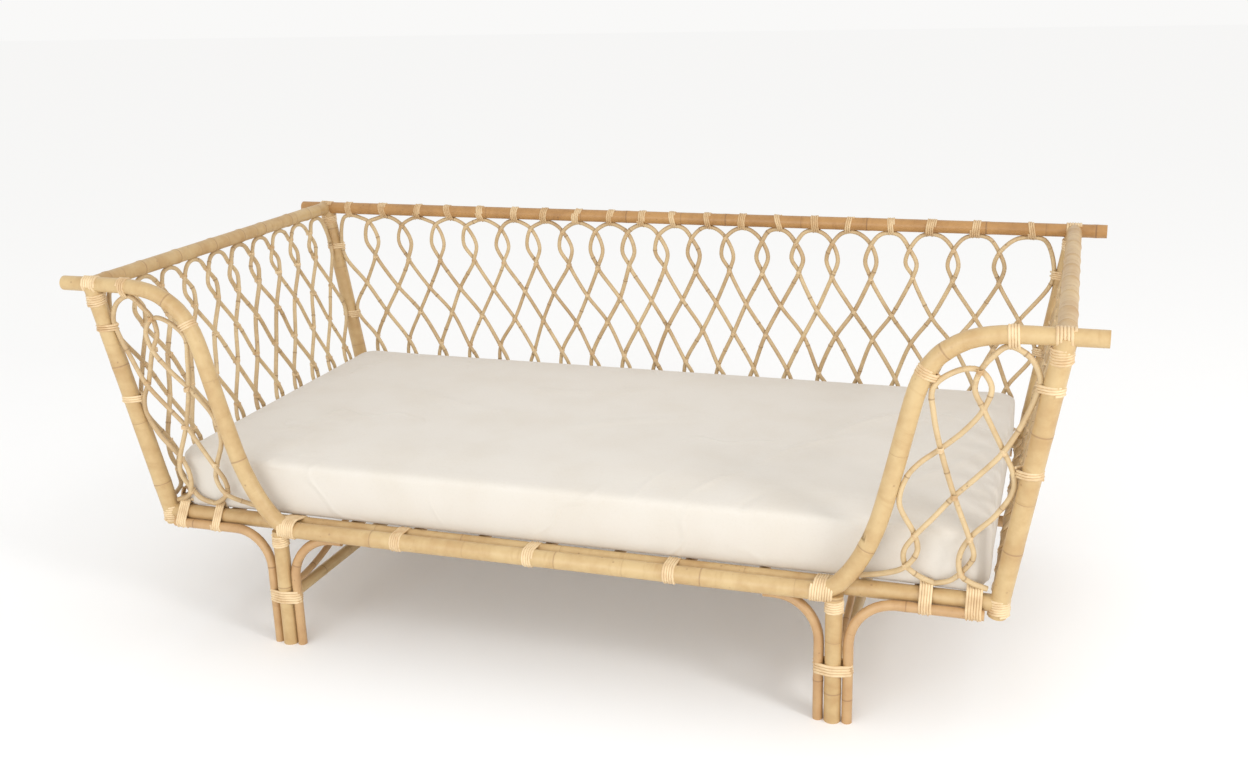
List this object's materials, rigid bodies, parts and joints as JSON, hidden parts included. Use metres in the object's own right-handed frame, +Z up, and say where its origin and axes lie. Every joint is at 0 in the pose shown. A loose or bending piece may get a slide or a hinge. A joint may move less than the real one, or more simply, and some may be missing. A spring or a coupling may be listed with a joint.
{
  "type": "daybed",
  "caption": "Long low daybed of bent cane poles, with outward-leaning woven back and ends, swept-up front arms, bundled cane legs and a loose flat mattress.",
  "frame": {"origin": "middle of the plan on the floor, under the centre of the daybed", "axes": "+X along the length, to the right as seen from the front; +Y to the woven back; +Z up"},
  "size_m": [2.206, 1.0516, 0.8507],
  "materials": {
    "pole": "satin peeled cane pole",
    "dark_pole": "satin peeled cane pole, darker honey",
    "thin_cane": "satin thin cane",
    "woven_cane": "matte thin cane",
    "binding": "matte split cane wrapping",
    "cotton": "matte woven cotton cover"
  },
  "bodies": {
    "frame": {"arm_weave_left": "woven_cane", "arm_weave_right": "woven_cane", "back_top_rail": "dark_pole", "back_weave": "woven_cane", "base_back_rail": "pole", "base_end_rail_left": "pole", "base_end_rail_right": "pole", "base_front_rail": "pole", "bent_front_pole": "pole", "corner_binding_back_left": "binding", "corner_binding_back_right": "binding", "corner_binding_front_left": "binding", "corner_binding_front_right": "binding", "deck_bearer": "thin_cane", "end_top_rail_left": "pole", "end_top_rail_right": "pole", "end_weave_left": "woven_cane", "end_weave_right": "woven_cane", "front_rail_binding_1": "binding", "front_rail_binding_2": "binding", "front_rail_binding_3": "binding", "leg_back_left": "pole", "leg_back_right": "pole", "leg_binding_back_left": "binding", "leg_binding_back_right": "binding", "leg_binding_front_left": "binding", "leg_binding_front_right": "binding", "leg_cane_inner_back_left": "thin_cane", "leg_cane_inner_back_right": "thin_cane", "leg_cane_inner_front_left": "thin_cane", "leg_cane_inner_front_right": "thin_cane", "leg_cane_outer_back_left": "thin_cane", "leg_cane_outer_back_right": "thin_cane", "leg_cane_outer_front_left": "thin_cane", "leg_cane_outer_front_right": "thin_cane", "leg_front_left": "pole", "leg_front_right": "pole", "leg_top_binding_left": "binding", "leg_top_binding_right": "binding", "post_back_left": "pole", "post_back_right": "pole", "post_front_left": "pole", "post_front_right": "pole", "slat_01": "thin_cane", "slat_02": "thin_cane", "slat_03": "thin_cane", "slat_04": "thin_cane", "slat_05": "thin_cane", "slat_06": "thin_cane", "slat_07": "thin_cane", "slat_08": "thin_cane", "slat_09": "thin_cane", "slat_10": "thin_cane", "slat_11": "thin_cane", "stretcher_arch_left": "thin_cane", "stretcher_arch_right": "thin_cane", "stretcher_left": "pole", "stretcher_right": "pole"},
    "mattress": {"mattress": "cotton"}
  },
  "joints": [
    {"name": "mattress_lift", "type": "slide", "parent": "frame", "child": "mattress", "axis": [0, 0, 1], "range_m": [0, 0.7]}
  ]
}
